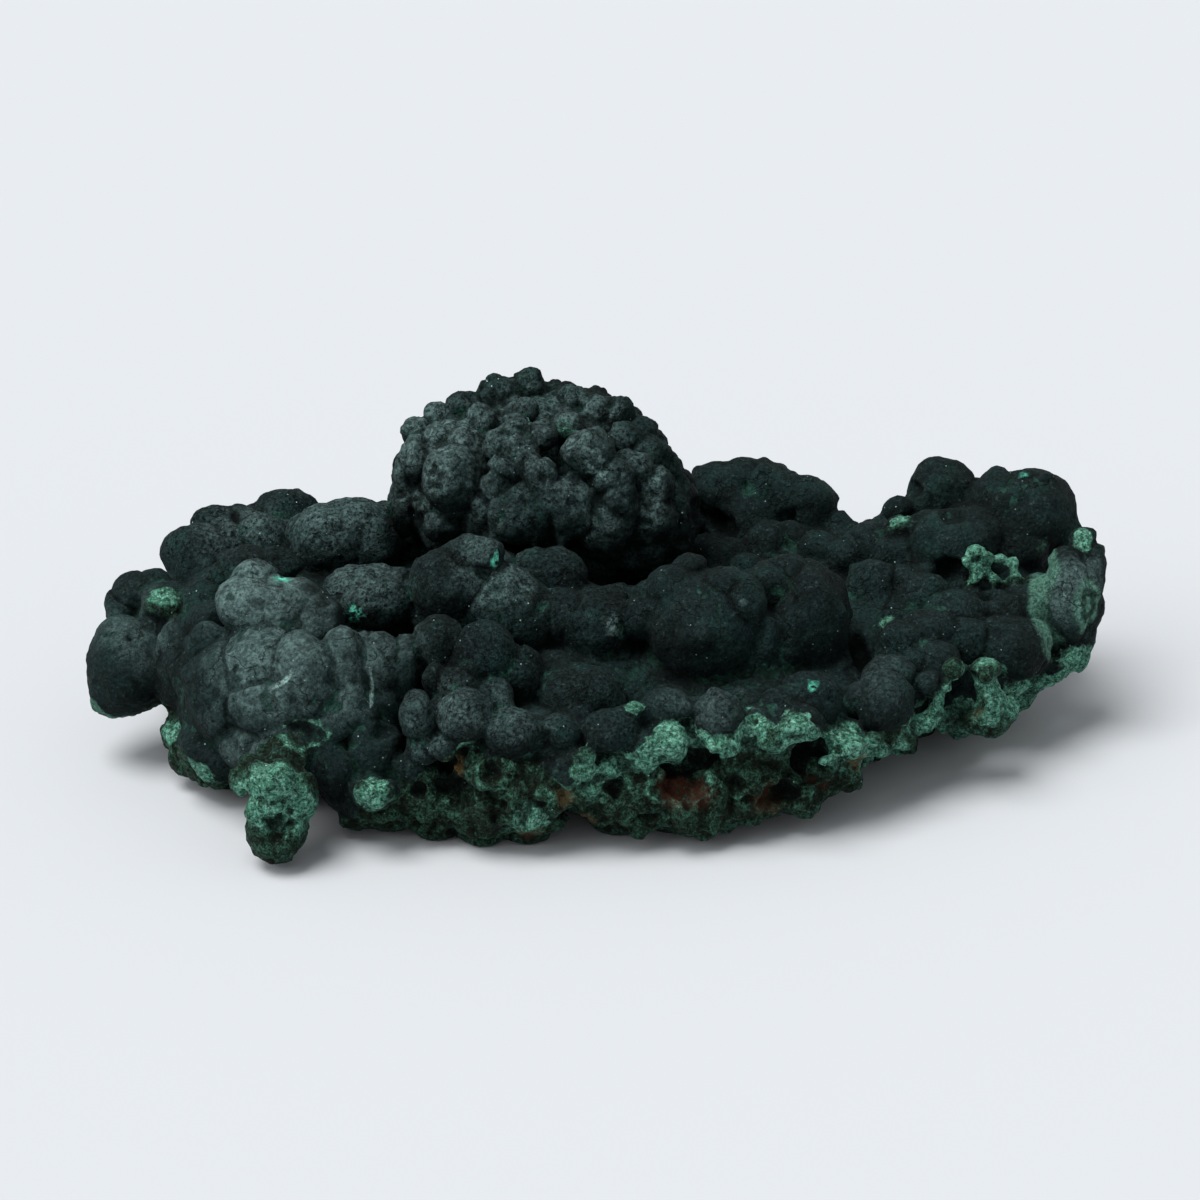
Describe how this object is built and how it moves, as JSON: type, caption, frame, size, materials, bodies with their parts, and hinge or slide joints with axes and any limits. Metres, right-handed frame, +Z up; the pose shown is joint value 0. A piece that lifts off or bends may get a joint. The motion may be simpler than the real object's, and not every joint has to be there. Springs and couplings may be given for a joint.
{
  "type": "malachite specimen",
  "caption": "Natural lump of botryoidal malachite: rounded dark green lobes grown together on a rough porous bed, with a flat base to rest on.",
  "frame": {"origin": "centre of the lump's box in X and Y, on the flat base that it rests on", "axes": "+X along the lump towards the end with the ear-like lobe, +Y towards its back, +Z up"},
  "size_m": [0.18, 0.1064, 0.0596],
  "materials": {
    "malachite": "matte, velvety dark blackish green, lighter green on broken edges"
  },
  "bodies": {
    "root": {"malachite": "malachite"}
  },
  "joints": []
}
